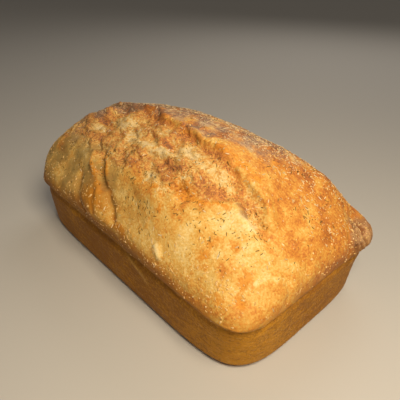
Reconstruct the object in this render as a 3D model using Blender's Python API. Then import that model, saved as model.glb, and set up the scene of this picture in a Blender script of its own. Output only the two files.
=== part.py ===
"""A sourdough loaf baked in a loaf tin, as one solid with its herb flakes fused on.

Frame: metres, +Z up. The origin is at the middle of the flat base. +X runs along the loaf towards its
lower end, and the crust has torn open on the -Y side of the crest.
"""

import math
import random

import bmesh
import bpy
import numpy as np
from mathutils import Matrix, Vector, noise

MM = 0.001

# Driving dimensions of the loaf, in metres.
LENGTH = 0.220
WIDTH = 0.125
WALL_TAPER = 0.001  # the tin is this much narrower on each side at the base
CREASE_HEIGHT = 0.032  # where the crown leaves the tin's wall
SHOULDER_HEIGHT = 0.038  # the crown's widest line
SHOULDER_OVERHANG = 0.0027
CREASE_DEPTH = 0.0012
FOOT_RADIUS = 0.0045
BASE_CORNER = 0.030
CROWN_CORNER = 0.020

# The crest's height, and how it falls towards the two ends.
CREST_HEIGHT = 0.1003
LOW_END_START = 0.050
LOW_END_SLOPE = 0.63
HIGH_END_START = 0.017
HIGH_END_SLOPE = 0.185
SLOPE_EASE = 0.020

# Powers of the crown's section: across the loaf, and along it.
ACROSS_POWER = 2.0
ACROSS_ROOT = 1.6
ALONG_POWER = 7.5
ALONG_ROOT = 2.9

# The mesh: cells along and across the crown. They crowd towards its rim and over the tear.
CELLS_ALONG = 74
CELLS_ACROSS = 44
SOFT_X, SOFT_Y = 5, 2  # how early the round corners begin to bend the grid

# The tear: its two edges run from one end of the crust to the other and meet near the low end.
TEAR_START = -0.094
TEAR_END = 0.100
TEAR_BACK = -0.0085
TEAR_BACK_SLANT = -0.10
TEAR_FRONT = -0.0450
TEAR_NECK = (0.048, 0.073)  # between these, its front edge steps towards the crest
TEAR_NECK_FRONT = -0.030
TEAR_SINK = 0.0016
EAR_DROP = 0.0022
EAR_RISE = 0.0018
EAR_WIDTH = 0.0050
CRAG_DEPTH = 0.0025

# The rim.
RIM_SOFT_FROM, RIM_SOFT_TO = 0.010, 0.075  # along the loaf, where the rim begins to draw in, and is in
RIM_TUCK, CREASE_FILL = 0.0014, 0.0008
RIM_LIFT, RIM_HIGH = 0.0016, 0.050  # in front, away from the low end, the crown bulges out higher up

# Lines and places on the crust, as points in the loaf's own frame.
LONG_FOLD = (
    (-0.030, -0.051, 0.071), (-0.017, -0.054, 0.067), (-0.010, -0.056, 0.064), (-0.003, -0.058, 0.061),
    (0.002, -0.060, 0.057), (0.006, -0.062, 0.052), (0.010, -0.063, 0.048),
)
SHORT_FOLD = ((-0.035, -0.043, 0.078), (-0.025, -0.049, 0.073), (-0.018, -0.052, 0.070), (-0.010, -0.055, 0.066))
ROLL_EDGE = (
    (-0.044, -0.055, 0.064), (-0.040, -0.059, 0.058), (-0.033, -0.062, 0.052), (-0.024, -0.064, 0.047),
    (-0.017, -0.065, 0.043),
)
LIP_EDGE = (
    (0.094, 0.046, 0.058), (0.098, 0.039, 0.058), (0.104, 0.033, 0.055), (0.110, 0.026, 0.049),
    (0.112, 0.025, 0.042), (0.112, 0.031, 0.035),
)
STREAK = ((0.072, -0.025, 0.079), (0.080, -0.026, 0.074), (0.086, -0.025, 0.071), (0.096, -0.026, 0.062))
SCRATCH = ((0.086, -0.025, 0.071), (0.095, -0.020, 0.065), (0.105, -0.014, 0.057), (0.111, -0.013, 0.050))
WRINKLE = ((0.098, -0.031, 0.060), (0.106, -0.028, 0.054), (0.110, -0.029, 0.048), (0.113, -0.031, 0.039))
SWIRL = (
    (0.102, -0.057, 0.046), (0.097, -0.051, 0.053), (0.096, -0.045, 0.056), (0.098, -0.040, 0.058),
    (0.103, -0.036, 0.056),
)
FURROWS = (  # path, width and depth of a furrow
    (LONG_FOLD, 0.0036, 0.0026),
    (SHORT_FOLD, 0.0040, 0.0016),
    (ROLL_EDGE, 0.0036, 0.0022),
    (LIP_EDGE, 0.0026, 0.0018),
    (STREAK, 0.0026, 0.0022),
    (SCRATCH, 0.0018, 0.0010),
    (WRINKLE, 0.0028, 0.0012),
    (SWIRL, 0.0030, 0.0010),
)

ROLL_CENTRE = (-0.014, -0.061, 0.054)
LIP_CENTRE, LIP_FOOT = (0.110, 0.042, 0.045), (0.110, 0.050, 0.033)
PLACES = (  # centre, reach, and rise of a swelling, or fall of a hollow
    (ROLL_CENTRE, (0.018, 0.012, 0.011), 0.0044),
    (LIP_CENTRE, (0.010, 0.011, 0.008), -0.0020),
    (LIP_FOOT, (0.010, 0.011, 0.009), 0.0012),
    ((0.094, -0.056, 0.044), (0.014, 0.012, 0.010), 0.0012),  # the low end's front cheek
    ((0.060, 0.034, 0.080), (0.045, 0.020, 0.020), 0.0014),  # the low end's back shoulder
    ((0.083, 0.037, 0.070), (0.018, 0.015, 0.012), 0.0033),
    ((0.104, 0.047, 0.054), (0.008, 0.009, 0.006), -0.0048),
    ((-0.110, -0.058, 0.044), (0.018, 0.018, 0.014), -0.0048),  # the high end's front corner
    ((-0.066, -0.018, 0.088), (0.011, 0.010, 0.010), 0.0044),  # a flap of crust at the tear's high end
    ((-0.083, -0.026, 0.082), (0.012, 0.010, 0.010), 0.0024),
    ((0.106, 0.012, 0.056), (0.006, 0.006, 0.005), -0.0010),
    ((0.016, -0.025, 0.092), (0.006, 0.004, 0.006), -0.0034),  # burst bubbles in the torn floor
    ((-0.059, -0.025, 0.086), (0.006, 0.004, 0.005), -0.0034),
    ((-0.046, -0.033, 0.084), (0.006, 0.004, 0.005), -0.0020),
    ((0.050, -0.021, 0.090), (0.013, 0.006, 0.006), -0.0016),
    ((-0.022, -0.018, 0.094), (0.013, 0.006, 0.006), -0.0016),
)

# The dusting of dried herbs.
FLAKE_COUNT = 36
FLAKE_HALF_SIZES = (0.0019, 0.0008, 0.0008)
FLAKE_SPACING = 0.0052
FLAKE_SEED = 11


def step(value, low, high):
    """0 below low, 1 above high, and smooth between them."""
    t = np.clip((value - low) / (high - low), 0.0, 1.0)
    return t * t * (3.0 - 2.0 * t)


def hump(value, centre, width):
    """1 at the centre, falling to nothing in about two widths."""
    return np.exp(-(((value - centre) / width) ** 2))


def ramp(value, ease):
    """0 below zero, the value itself well above it, with a round bend between."""
    return 0.5 * (value + np.sqrt(value * value + ease * ease))


def field(points, cell, seed, octaves=1):
    """Smooth noise from about -1 to 1 whose lumps are as large as cell, one value for each point."""
    shift = Vector((seed * 13.7, seed * 5.1, seed * 9.3))
    total = np.zeros(len(points))
    for octave in range(octaves):
        scale = 2.0**octave / cell
        values = [noise.noise(Vector(p) * scale + shift) for p in points]
        total += np.array(values) * 0.5**octave
    return total


def path_distance(points, path):
    """How far each point is from an open path, and how far along it the nearest place is, from 0 to 1."""
    path = np.array(path)
    best = np.full(len(points), 1e9)
    along = np.zeros(len(points))
    for k in range(len(path) - 1):
        run = path[k + 1] - path[k]
        share = np.clip((points - path[k]) @ run / (run @ run), 0.0, 1.0)
        gap = np.linalg.norm(points - path[k] - share[:, None] * run, axis=1)
        nearer = gap < best
        best = np.where(nearer, gap, best)
        along = np.where(nearer, (k + share) / (len(path) - 1), along)
    return best, along


def round_map(u, v, half_x, half_y, radius):
    """Bends the square from -1 to 1 into a rectangle with round corners, without a fold on its diagonals."""
    pull = radius * (1 - math.sqrt(0.5))
    power_v = half_y / pull - (1 + SOFT_Y)
    power_u = half_x / pull - (1 + SOFT_X)
    x = u * (half_x - pull * np.abs(v) ** power_v * np.abs(u) ** SOFT_X)
    y = v * (half_y - pull * np.abs(u) ** power_u * np.abs(v) ** SOFT_Y)
    return x, y


def crest_height(x):
    low_end = LOW_END_SLOPE * ramp(x - LOW_END_START, SLOPE_EASE)
    high_end = HIGH_END_SLOPE * ramp(-HIGH_END_START - x, SLOPE_EASE)
    return CREST_HEIGHT - low_end - high_end


def spread(count, busy):
    """Places from -1 to 1, one more than count, that lie closer together where busy is high."""
    line = np.linspace(-1, 1, 4001)
    load = np.cumsum(busy(line))
    return np.interp(np.linspace(load[0], load[-1], count + 1), load, line)


def grid_lines():
    """The grid's places along the loaf and across it."""
    along = spread(CELLS_ALONG, lambda u: 0.45 / np.sqrt(1.01 - u * u) + 0.45)
    across = spread(CELLS_ACROSS, lambda v: 0.45 / np.sqrt(1.01 - v * v) + 0.60 * hump(v, -0.38, 0.38))
    return along, across


def crown_grid():
    """The crown above its shoulder, on a grid."""
    u, v = np.meshgrid(*grid_lines(), indexing="ij")
    half_x = LENGTH / 2 + SHOULDER_OVERHANG
    half_y = WIDTH / 2 + SHOULDER_OVERHANG
    x, y = round_map(u, v, half_x, half_y, CROWN_CORNER)
    across = np.maximum(0.0, 1 - np.abs(v) ** ACROSS_POWER) ** (1 / ACROSS_ROOT)
    along = np.maximum(0.0, 1 - np.abs(u) ** ALONG_POWER) ** (1 / ALONG_ROOT)
    z = SHOULDER_HEIGHT + (crest_height(x) - SHOULDER_HEIGHT) * across * along
    return np.stack([x, y, z], axis=-1)


def rim_order():
    """Grid places round the rim of the crown, one after another."""
    a, b = CELLS_ALONG, CELLS_ACROSS
    return (
        [(i, 0) for i in range(a)]
        + [(a, j) for j in range(b)]
        + [(i, b) for i in range(a, 0, -1)]
        + [(0, j) for j in range(b, 0, -1)]
    )


def wall_levels():
    """Height, outward shift and corner radius of each line round the side, from the shoulder down."""
    inner = -WALL_TAPER
    levels = [
        (0.0352, SHOULDER_OVERHANG * 0.65),
        (CREASE_HEIGHT, -CREASE_DEPTH),
        (0.0290, 0.0),
        (0.0180, inner * 0.45),
        (FOOT_RADIUS, inner),
    ]
    for turn in (45, 90):
        swing = math.radians(turn)
        height = FOOT_RADIUS * (1 - math.sin(swing))
        levels.append((height, inner - FOOT_RADIUS * (1 - math.cos(swing))))
    return [
        (height, shift, BASE_CORNER + (CROWN_CORNER - BASE_CORNER) * height / SHOULDER_HEIGHT)
        for height, shift in levels
    ]


def wall_rings():
    """The rings of points below the crown, which keep its rim's spacing round the loaf."""
    u, v = grid_lines()
    places = np.array([(u[i], v[j]) for i, j in rim_order()])
    rings = []
    for height, shift, corner in wall_levels():
        half_x, half_y = LENGTH / 2 + shift, WIDTH / 2 + shift
        x, y = round_map(places[:, 0], places[:, 1], half_x, half_y, corner)
        rings.append(np.stack([x, y, np.full(len(x), height)], axis=-1))
    return rings


def tear_edges(x):
    """The y of the tear's front and back edge at x."""
    front = TEAR_FRONT + (TEAR_NECK_FRONT - TEAR_FRONT) * step(x, *TEAR_NECK)
    back = TEAR_BACK + TEAR_BACK_SLANT * x
    closing = step(x, TEAR_NECK[1], TEAR_END)
    return front, back + (front + 0.002 - back) * closing


def tear_relief(points):
    """The rip in the crust: a sunk and craggy floor, a raised ear behind it and a soft lip in front."""
    wander = field(points, 0.022, 3, octaves=3) * 0.0045
    x = points[:, 0]
    y = points[:, 1] + wander
    front, back = tear_edges(x)
    ends = step(x, TEAR_START - 0.006, TEAR_START + 0.010) * (1 - step(x, TEAR_END - 0.014, TEAR_END))
    upper = step(points[:, 2], SHOULDER_HEIGHT, SHOULDER_HEIGHT + 0.012)
    floor = step(y, front - 0.003, front + 0.004) * (1 - step(y, back - 0.005, back + 0.0012))
    floor *= ends * upper
    share = np.clip((y - front) / np.maximum(back - front, 0.004), 0.0, 1.0)
    strands = np.stack([x * 0.55 - points[:, 1] * 0.3, points[:, 1] * 1.2 + x * 0.35, points[:, 2] * 0.6], -1)
    crags = 1 - 2 * np.abs(field(strands, 0.013, 5, octaves=3))
    lumps = field(points, 0.024, 8, octaves=2)
    rise = CRAG_DEPTH * (0.75 * crags + 0.9 * lumps - 0.35)
    ear = EAR_RISE * hump(y, back + 0.0032, EAR_WIDTH) * (0.6 + 0.9 * field(points, 0.022, 12))
    lip = 0.0011 * hump(y, front - 0.003, 0.004)
    sink = TEAR_SINK + EAR_DROP * share**3
    return floor * (rise - sink) + ends * upper * (ear + lip)


def furrow_relief(points, path, width, depth):
    """A furrow along a path, which fades at its two ends."""
    gap, along = path_distance(points, path)
    fade = step(along, 0.0, 0.12) * (1 - step(along, 0.85, 1.0))
    return -depth * hump(gap, 0.0, width) * fade


def place_relief(points, centre, reach, rise):
    """A round swelling, or a hollow where rise is negative."""
    gap = np.linalg.norm((points - np.array(centre)) / np.array(reach), axis=1)
    return rise * np.exp(-gap * gap)


def rim_relief(points):
    """The rim draws in softly at the low end, and bulges out higher up along the front."""
    x, y, z = points.T
    soft = step(x, RIM_SOFT_FROM, RIM_SOFT_TO) * (1 - step(y, 0.012, 0.035))
    draw = CREASE_FILL * hump(z, CREASE_HEIGHT, 0.003) - RIM_TUCK * hump(z, SHOULDER_HEIGHT + 0.001, 0.006)
    front = step(-y, 0.040, 0.056) * step(x, -0.105, -0.070) * (1 - step(x, 0.020, 0.080))
    lift = RIM_LIFT * (hump(z, RIM_HIGH, 0.006) - hump(z, SHOULDER_HEIGHT, 0.005))
    return soft * draw + front * lift


def feature_relief(points):
    """Folds, furrows, swellings and burst bubbles, each at its own place."""
    relief = np.zeros(len(points))
    for path, width, depth in FURROWS:
        relief += furrow_relief(points, path, width, depth)
    for centre, reach, rise in PLACES:
        relief += place_relief(points, centre, reach, rise)
    return relief


def relief_at(points):
    """How far the crust stands off the smooth form, along its normal."""
    height = points[:, 2]
    crown = step(height, CREASE_HEIGHT, SHOULDER_HEIGHT + 0.006)
    wall = 1 - step(height, CREASE_HEIGHT - 0.002, CREASE_HEIGHT + 0.004)
    relief = crown * (field(points, 0.042, 1) * 0.0022 + field(points, 0.017, 2) * 0.0007)
    relief += wall * field(points, 0.035, 4) * 0.0008
    relief += tear_relief(points) + rim_relief(points) + feature_relief(points)
    return relief * step(height, 0.002, 0.012)


def loaf_mesh():
    """The whole crust as one closed mesh: crown, side and flat base."""
    grid = crown_grid()
    rim = rim_order()
    rings = wall_rings()
    points = np.concatenate([grid.reshape(-1, 3)] + rings)
    mesh = bpy.data.meshes.new("loaf")
    form = bmesh.new()
    verts = [form.verts.new(p) for p in points]
    columns = CELLS_ACROSS + 1
    for i in range(CELLS_ALONG):
        for j in range(CELLS_ACROSS):
            k = i * columns + j
            form.faces.new([verts[k], verts[k + columns], verts[k + columns + 1], verts[k + 1]])
    upper = [verts[i * columns + j] for i, j in rim]
    start = grid.shape[0] * grid.shape[1]
    for ring in range(len(rings)):
        lower = verts[start + ring * len(rim): start + (ring + 1) * len(rim)]
        for k in range(len(rim)):
            after = (k + 1) % len(rim)
            form.faces.new([upper[k], lower[k], lower[after], upper[after]])
        upper = lower
    form.faces.new(upper[::-1])
    bmesh.ops.recalc_face_normals(form, faces=form.faces)
    form.normal_update()
    normals = np.array([v.normal for v in verts])
    for vert, shift in zip(verts, relief_at(points)[:, None] * normals):
        vert.co += Vector(shift)
    form.to_mesh(mesh)
    form.free()
    return mesh


def flake_chance(x, y):
    """Herbs lie thickest along the front of the tear and on the back shoulder."""
    front, _ = tear_edges(x)
    near_tear = float(hump(y, front - 0.003, 0.009))
    back_shoulder = float(step(y, 0.0, 0.010)) * 0.8
    return 0.12 + near_tear + back_shoulder


def flake_spots(loaf):
    """Seeded places on the crown for the largest flakes, spread so that no two touch."""
    dice = random.Random(FLAKE_SEED)
    loaf.data.calc_loop_triangles()
    spots = []
    while len(spots) < FLAKE_COUNT:
        x = dice.uniform(-0.44, 0.44) * LENGTH
        y = dice.uniform(-0.44, 0.44) * WIDTH
        turn = dice.uniform(0, math.tau)
        if dice.random() > flake_chance(x, y):
            continue
        hit, place, normal, _ = loaf.ray_cast(Vector((x, y, 0.2)), Vector((0, 0, -1)))
        if hit and all((place - other[0]).length > FLAKE_SPACING for other in spots):
            spots.append((place, normal, turn))
    return spots


def herb_flakes(loaf, collection):
    """Small lozenges lying on the crust, half sunk in it."""
    for number, (place, normal, turn) in enumerate(flake_spots(loaf)):
        mesh = bpy.data.meshes.new(f"flake_{number}")
        form = bmesh.new()
        bmesh.ops.create_icosphere(form, subdivisions=1, radius=1.0)
        lie = normal.to_track_quat("Z", "Y").to_matrix().to_4x4()
        size = Matrix.Diagonal((*FLAKE_HALF_SIZES, 1.0))
        form.transform(Matrix.Translation(place) @ lie @ Matrix.Rotation(turn, 4, "Z") @ size)
        form.to_mesh(mesh)
        form.free()
        collection.objects.link(bpy.data.objects.new(f"flake_{number}", mesh))


def fuse(loaf, collection):
    """Joins the flakes to the loaf as one solid and removes the loose ones."""
    union = loaf.modifiers.new("fuse_flakes", "BOOLEAN")
    union.operation = "UNION"
    union.operand_type = "COLLECTION"
    union.collection = collection
    union.solver = "MANIFOLD"
    bpy.context.view_layer.update()
    graph = bpy.context.evaluated_depsgraph_get()
    joined = bpy.data.meshes.new_from_object(loaf.evaluated_get(graph))
    loaf.modifiers.remove(union)
    loaf.data = joined
    for flake in list(collection.objects):
        bpy.data.objects.remove(flake)
    bpy.data.collections.remove(collection)


def crust_material():
    """Baked crust: golden brown and dull, with a faint sheen."""
    material = bpy.data.materials.new("crust")
    material.use_nodes = True
    shader = material.node_tree.nodes["Principled BSDF"]
    shader.inputs["Base Color"].default_value = (0.56, 0.30, 0.10, 1.0)
    shader.inputs["Roughness"].default_value = 0.6
    shader.inputs["Metallic"].default_value = 0.0
    return material


def main():
    for old in list(bpy.data.objects):
        bpy.data.objects.remove(old)
    loaf = bpy.data.objects.new("loaf", loaf_mesh())
    bpy.context.scene.collection.objects.link(loaf)
    bpy.context.view_layer.update()
    flakes = bpy.data.collections.new("flakes")
    bpy.context.scene.collection.children.link(flakes)
    herb_flakes(loaf, flakes)
    fuse(loaf, flakes)
    loaf.data.materials.clear()
    loaf.data.materials.append(crust_material())
    loaf.data.shade_smooth()


main()
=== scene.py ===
# %% [markdown]
# # A sourdough loaf from a tin
# The loaf is one lump of baked dough. The tin shaped its straight lower walls, and the dough that rose
# above the tin swelled into a crown and burst open along its crest. A crust like this has no hard parts
# to assemble, so the lesson is about one surface: first its large form, then relief at ever smaller
# sizes, then colour that knows where on the crust it is, and last the dried herbs and flakes on it.
#
# The packed model is loaded first. It fixes where everything goes, in metres with +Z up.

# %% Load the frame
import math

import bpy
import numpy as np
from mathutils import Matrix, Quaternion, Vector, noise


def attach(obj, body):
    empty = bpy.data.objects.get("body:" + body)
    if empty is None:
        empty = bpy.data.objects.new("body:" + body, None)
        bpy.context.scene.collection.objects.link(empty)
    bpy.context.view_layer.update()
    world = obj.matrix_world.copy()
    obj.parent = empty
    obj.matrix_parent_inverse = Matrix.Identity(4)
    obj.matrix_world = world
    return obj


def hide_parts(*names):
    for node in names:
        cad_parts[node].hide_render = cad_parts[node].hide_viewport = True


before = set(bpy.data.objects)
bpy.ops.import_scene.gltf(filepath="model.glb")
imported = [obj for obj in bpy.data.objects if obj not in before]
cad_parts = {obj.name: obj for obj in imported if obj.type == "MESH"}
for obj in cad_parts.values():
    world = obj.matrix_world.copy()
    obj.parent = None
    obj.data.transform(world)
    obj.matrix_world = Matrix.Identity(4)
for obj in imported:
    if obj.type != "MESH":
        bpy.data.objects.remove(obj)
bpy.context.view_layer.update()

# %% [markdown]
# The camera stands in front of the loaf's lower end, to its left, and looks down at about thirty degrees.
# A camera is easiest to place by the point it looks at, two angles and a distance, because each of them
# can be changed without upsetting the others.

# %% Camera
LENS_MM, SENSOR_MM = 36.0, 36.0
LOOK_AT = Vector((0.00416, 0.0095, 0.035))
AZIMUTH, ELEVATION, ROLL = math.radians(47.28), math.radians(31.10), math.radians(0.51)
DISTANCE = 0.2878

backward = Vector((
    math.sin(AZIMUTH) * math.cos(ELEVATION),
    -math.cos(AZIMUTH) * math.cos(ELEVATION),
    math.sin(ELEVATION),
))
lens = bpy.data.cameras.new("camera")
lens.lens, lens.sensor_width = LENS_MM, SENSOR_MM
lens.clip_start, lens.clip_end = 0.01, 50.0
camera = bpy.data.objects.new("camera", lens)
bpy.context.scene.collection.objects.link(camera)
camera.location = LOOK_AT + backward * DISTANCE
camera.rotation_mode = "QUATERNION"
camera.rotation_quaternion = (-backward).to_track_quat("-Z", "Y") @ Quaternion((0, 0, 1), ROLL)
bpy.context.scene.camera = camera
bpy.context.scene.view_settings.view_transform = "Standard"
print("camera at", [round(c, 3) for c in camera.location])

# %% [markdown]
# Soft light from large lamps flatters food. The main lamp hangs to the right of the camera, so the crown
# glows, the long wall falls into shade and the ragged crest throws small shadows. A weak lamp on the left,
# a broad one behind the loaf and a pale surround keep the shade open.

# %% Lamps
LIT_PLACE = Vector((0.02, 0.0, 0.05))
LAMPS = (  # name, place, side of the square, power in watts, colour
    ("main_lamp", (0.27, -0.10, 0.36), 0.16, 1.93, (1.0, 0.89, 0.70)),
    ("fill_lamp", (-0.20, -0.80, 0.60), 0.8, 0.5, (1.0, 0.92, 0.80)),
    ("back_lamp", (-0.30, 0.75, 0.75), 0.6, 2.4, (1.0, 0.96, 0.90)),
)


def add_lamp(name, place, size, power, colour):
    """A square area lamp that shines at the middle of the loaf."""
    data = bpy.data.lights.new(name, "AREA")
    data.shape, data.size, data.energy, data.color = "SQUARE", size, power, colour
    lamp = bpy.data.objects.new(name, data)
    bpy.context.scene.collection.objects.link(lamp)
    lamp.location = place
    lamp.rotation_mode = "QUATERNION"
    lamp.rotation_quaternion = (LIT_PLACE - Vector(place)).to_track_quat("-Z", "Y")


for lamp in LAMPS:
    add_lamp(*lamp)
print("lamps:", [name for name, *rest in LAMPS])

# %% Surround and floor
SURROUND_TONE, SURROUND_STRENGTH = (1.0, 0.94, 0.85, 1), 0.13
FLOOR_TONE, FLOOR_ROUGHNESS = (0.52, 0.48, 0.43, 1), 0.85
FLOOR_HALF = 6.0

surround = bpy.data.worlds.new("surround")
surround.use_nodes = True
sky = surround.node_tree.nodes["Background"]
sky.inputs["Color"].default_value = SURROUND_TONE
sky.inputs["Strength"].default_value = SURROUND_STRENGTH
bpy.context.scene.world = surround

floor_mesh = bpy.data.meshes.new("floor")
corners = [(x * FLOOR_HALF, y * FLOOR_HALF, 0) for x, y in ((-1, -1), (1, -1), (1, 1), (-1, 1))]
floor_mesh.from_pydata(corners, [], [(0, 1, 2, 3)])
floor = bpy.data.objects.new("floor", floor_mesh)
bpy.context.scene.collection.objects.link(floor)
plaster = bpy.data.materials.new("pale_floor")
plaster.use_nodes = True
plaster_shader = plaster.node_tree.nodes["Principled BSDF"]
plaster_shader.inputs["Base Color"].default_value = FLOOR_TONE
plaster_shader.inputs["Roughness"].default_value = FLOOR_ROUGHNESS
floor_mesh.materials.append(plaster)
print("floor, in metres a side:", 2 * FLOOR_HALF)

# %% [markdown]
# ## Tools for shaping
# Relief is a sum of small height maps over the surface. Each map is a plain function of points in space,
# so the same few helpers serve all of them: a smooth step, a hump, a bend, and noise whose lumps have a
# size in metres. They work on whole arrays at once, which keeps nearly ninety thousand points quick.

# %% Helpers for smooth numbers
def step(value, low, high):
    """0 below low, 1 above high, and smooth between them."""
    t = np.clip((value - low) / (high - low), 0.0, 1.0)
    return t * t * (3.0 - 2.0 * t)


def hump(value, centre, width):
    """1 at the centre, falling to nothing in about two widths."""
    return np.exp(-(((value - centre) / width) ** 2))


def ramp(value, ease):
    """0 below zero, the value itself well above it, with a round bend between."""
    return 0.5 * (value + np.sqrt(value * value + ease * ease))


print("a step half way is", float(step(0.5, 0.0, 1.0)), "and a hump's middle", float(hump(0.0, 0.0, 1.0)))

# %% Noise with lumps of a given size
def field(points, cell, seed, octaves=1):
    """Smooth noise from about -1 to 1 whose lumps are as large as cell, one value for each point."""
    shift = Vector((seed * 13.7, seed * 5.1, seed * 9.3))
    total = np.zeros(len(points))
    for octave in range(octaves):
        scale = 2.0**octave / cell
        values = [noise.noise(Vector(p) * scale + shift) for p in points]
        total += np.array(values) * 0.5**octave
    return total


print("noise at the origin:", round(float(field(np.zeros((1, 3)), 0.01, 1)[0]), 3))

# %% Ridges along lines, swellings at places
def path_distance(points, path):
    """How far each point is from an open path, and how far along it the nearest place is, from 0 to 1."""
    path = np.array(path)
    best = np.full(len(points), 1e9)
    along = np.zeros(len(points))
    for k in range(len(path) - 1):
        run = path[k + 1] - path[k]
        share = np.clip((points - path[k]) @ run / (run @ run), 0.0, 1.0)
        gap = np.linalg.norm(points - path[k] - share[:, None] * run, axis=1)
        nearer = gap < best
        best = np.where(nearer, gap, best)
        along = np.where(nearer, (k + share) / (len(path) - 1), along)
    return best, along


def end_fade(along, full_from=0.12, full_to=0.85):
    """1 along most of a path, falling to 0 at its two ends."""
    return step(along, 0.0, full_from) * (1 - step(along, full_to, 1.0))


def line_relief(points, path, width, rise):
    """A ridge along a path, or a furrow where rise is negative, which fades at its two ends."""
    gap, along = path_distance(points, path)
    return rise * hump(gap, 0.0, width) * end_fade(along)


def place_relief(points, centre, reach, rise):
    """A round swelling, or a hollow where rise is negative."""
    gap = np.linalg.norm((points - np.array(centre)) / np.array(reach), axis=1)
    return rise * np.exp(-gap * gap)


print("a swelling at its centre:", float(place_relief(np.zeros((1, 3)), (0, 0, 0), (1, 1, 1), 1.0)[0]))

# %% [markdown]
# ## The large form
# The loaf stands on the XY plane with its middle over the origin. Its lower part is a tin's inside: a
# rectangle with round corners that barely narrows downwards. The crown above is a height over that
# rectangle. Across the loaf it is an arch, along the loaf it stays full almost to the ends, and its crest
# slopes down to the low end. All of it follows from these sizes.

# %% Sizes of the loaf
LENGTH, WIDTH = 0.220, 0.125
WALL_TAPER = 0.001
CREASE_HEIGHT, CREASE_DEPTH, CREASE_WIDTH = 0.032, 0.0012, 0.0022
SHOULDER_HEIGHT, SHOULDER_OVERHANG = 0.038, 0.0027
FOOT_RADIUS = 0.0045
BASE_CORNER, CROWN_CORNER = 0.030, 0.020
CREST_HEIGHT = 0.1003
LOW_END_START, LOW_END_SLOPE = 0.050, 0.63
HIGH_END_START, HIGH_END_SLOPE = 0.017, 0.185
SLOPE_EASE = 0.020
ACROSS_POWER, ACROSS_ROOT = 2.0, 1.6
ALONG_POWER, ALONG_ROOT = 7.5, 2.9
SOFT_X, SOFT_Y = 5, 2


def crest_height(x):
    """The crest's height at x, which sinks gently to the high end and steeply to the low one."""
    low_end = LOW_END_SLOPE * ramp(x - LOW_END_START, SLOPE_EASE)
    high_end = HIGH_END_SLOPE * ramp(-HIGH_END_START - x, SLOPE_EASE)
    return CREST_HEIGHT - low_end - high_end


print("crest at the low end, in mm:", round(float(crest_height(LENGTH / 2)) * 1000, 1))

# %% [markdown]
# A grid bent into a rectangle with round corners gives the crown even, square cells. Where the form is
# steep, at the rim, and where it is ragged, over the tear, the grid's lines are drawn closer together.

# %% The crown's grid
CELLS_ALONG, CELLS_ACROSS = 316, 196
EVEN_ALONG, EVEN_ACROSS = 0.60, 0.40
RIM_CROWDING, RIM_SOFTNESS = 0.30, 1.004  # softness just above 1 keeps the crowding at the rim finite
TEAR_CROWDING, TEAR_PLACE, TEAR_SPREAD = 0.35, -0.38, 0.38  # as shares of half the width


def spread(count, busy):
    """Places from -1 to 1, one more than count, that lie closer together where busy is high."""
    line = np.linspace(-1, 1, 8001)
    load = np.cumsum(busy(line))
    return np.interp(np.linspace(load[0], load[-1], count + 1), load, line)


def rim_crowding(place):
    """High near -1 and 1, where the crown is steep."""
    return RIM_CROWDING / np.sqrt(RIM_SOFTNESS - place * place)


def busy_along(place):
    """How close the grid's lines lie along the loaf."""
    return rim_crowding(place) + EVEN_ALONG


def busy_across(place):
    """How close they lie across it, where the tear needs more of them."""
    return rim_crowding(place) + EVEN_ACROSS + TEAR_CROWDING * hump(place, TEAR_PLACE, TEAR_SPREAD)


def grid_lines():
    """The grid's places along the loaf and across it."""
    return spread(CELLS_ALONG, busy_along), spread(CELLS_ACROSS, busy_across)


def round_map(u, v, half_x, half_y, radius):
    """Bends the square from -1 to 1 into a rectangle with round corners, with no fold on its diagonals."""
    pull = radius * (1 - math.sqrt(0.5))
    power_v = half_y / pull - (1 + SOFT_Y)
    power_u = half_x / pull - (1 + SOFT_X)
    x = u * (half_x - pull * np.abs(v) ** power_v * np.abs(u) ** SOFT_X)
    y = v * (half_y - pull * np.abs(u) ** power_u * np.abs(v) ** SOFT_Y)
    return x, y


def crown_grid():
    """Points of the smooth crown, as rows along the loaf of points across it."""
    u, v = np.meshgrid(*grid_lines(), indexing="ij")
    x, y = round_map(u, v, LENGTH / 2 + SHOULDER_OVERHANG, WIDTH / 2 + SHOULDER_OVERHANG, CROWN_CORNER)
    across = np.maximum(0.0, 1 - np.abs(v) ** ACROSS_POWER) ** (1 / ACROSS_ROOT)
    along = np.maximum(0.0, 1 - np.abs(u) ** ALONG_POWER) ** (1 / ALONG_ROOT)
    z = SHOULDER_HEIGHT + (crest_height(x) - SHOULDER_HEIGHT) * across * along
    return np.stack([x, y, z], axis=-1)


crown = crown_grid()
print("crown points:", crown.shape[0] * crown.shape[1])

# %% [markdown]
# The walls are rings that hang from the crown's rim. A single function gives how far a ring stands out at
# each height: it tucks in below the swollen rim, runs nearly straight down the tin's side and rounds off
# at the foot. The last ring is closed by one flat face, the base.

# %% The walls' rings
RINGS_DOWN = 25


def rim_order():
    """Grid places round the rim of the crown, one after another."""
    a, b = CELLS_ALONG, CELLS_ACROSS
    return (
        [(i, 0) for i in range(a)]
        + [(a, j) for j in range(b)]
        + [(i, b) for i in range(a, 0, -1)]
        + [(0, j) for j in range(b, 0, -1)]
    )


def wall_shift(height):
    """How far the wall stands outside the tin's nominal side at a height."""
    lip = SHOULDER_OVERHANG * step(height, CREASE_HEIGHT + 0.0006, SHOULDER_HEIGHT)
    crease = -CREASE_DEPTH * hump(height, CREASE_HEIGHT, CREASE_WIDTH)
    taper = -WALL_TAPER * (1 - height / SHOULDER_HEIGHT)
    low = np.clip(1 - height / FOOT_RADIUS, 0.0, 1.0)
    return lip + crease + taper - FOOT_RADIUS * (1 - np.sqrt(1 - low * low))


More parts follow.
